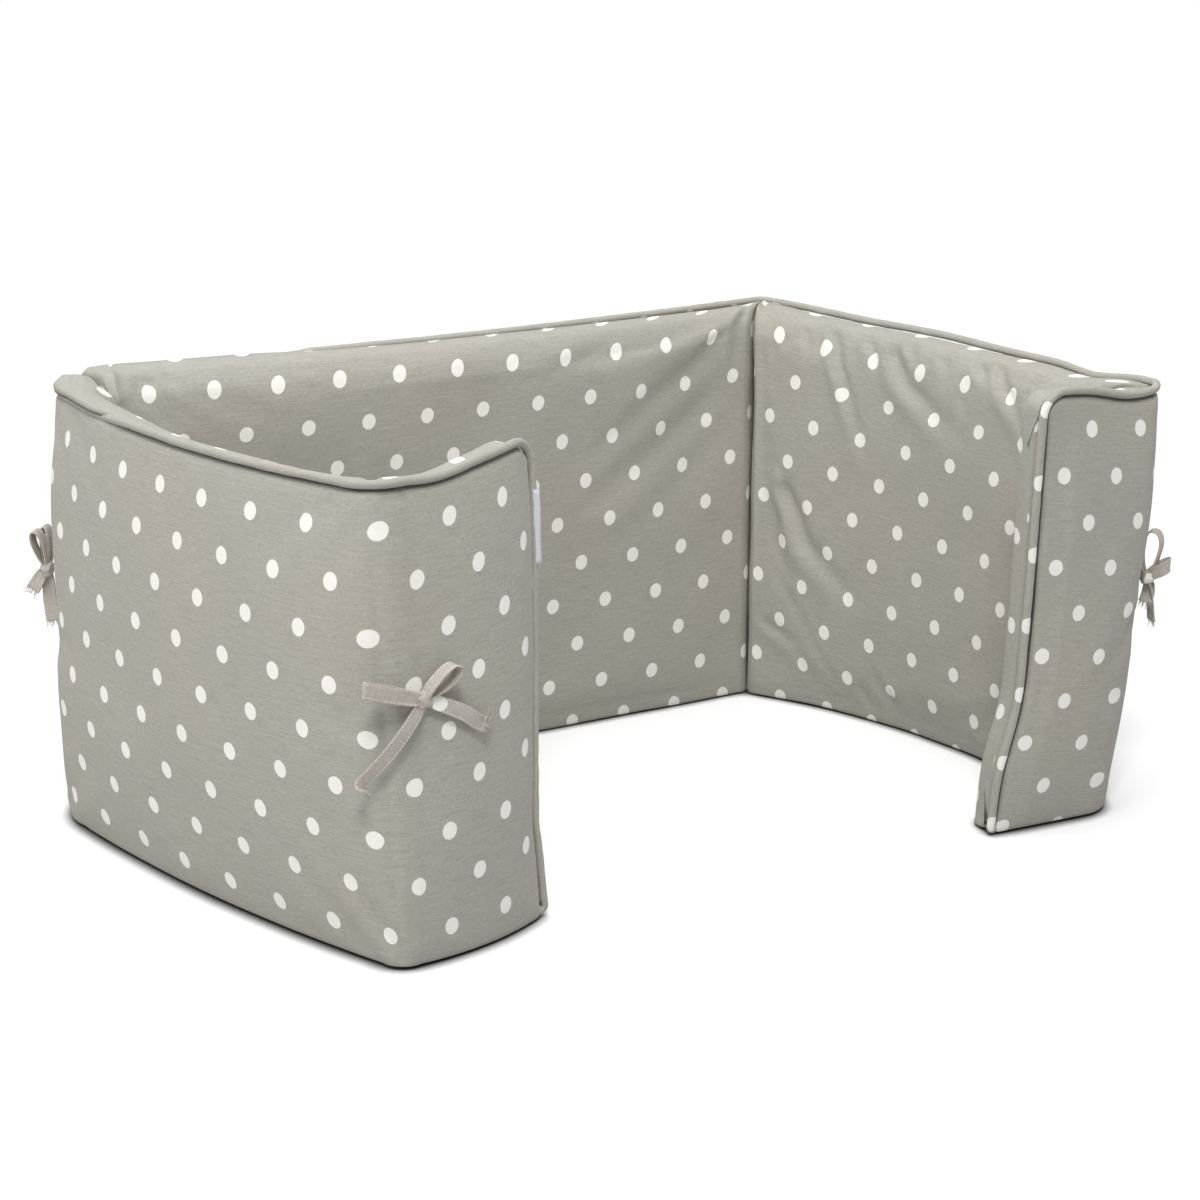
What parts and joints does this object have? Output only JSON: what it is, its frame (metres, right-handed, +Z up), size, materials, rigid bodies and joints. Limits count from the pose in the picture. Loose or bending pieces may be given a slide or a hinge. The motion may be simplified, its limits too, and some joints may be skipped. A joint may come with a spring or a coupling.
{
  "type": "padded dog crate bumper",
  "caption": "U-shaped padded fabric bumper that stands on edge round the inside of a dog crate, with piped edges, creased back corners and tied bows; spotted grey cotton.",
  "frame": {"origin": "middle of the box of the whole, on the surface that the bumper stands on", "axes": "+Z up; +X along the back from its left end to its right end, seen from the doorway; the doorway faces -Y"},
  "size_m": [0.6132, 0.4714, 0.298],
  "materials": {
    "spotted_cotton": "warm grey plain-weave cotton with small white spots",
    "piping_cotton": "the same cotton folded over a cord",
    "tie_cotton": "the same cotton, folded and top-stitched, with cut ends",
    "tag_ribbon": "plain pale woven ribbon"
  },
  "bodies": {
    "root": {"pad": "spotted_cotton", "piping": "piping_cotton", "tie_front_left": "tie_cotton", "tie_back_left": "tie_cotton", "tie_back_right": "tie_cotton", "tie_front_right": "tie_cotton", "tag": "tag_ribbon"}
  },
  "joints": []
}
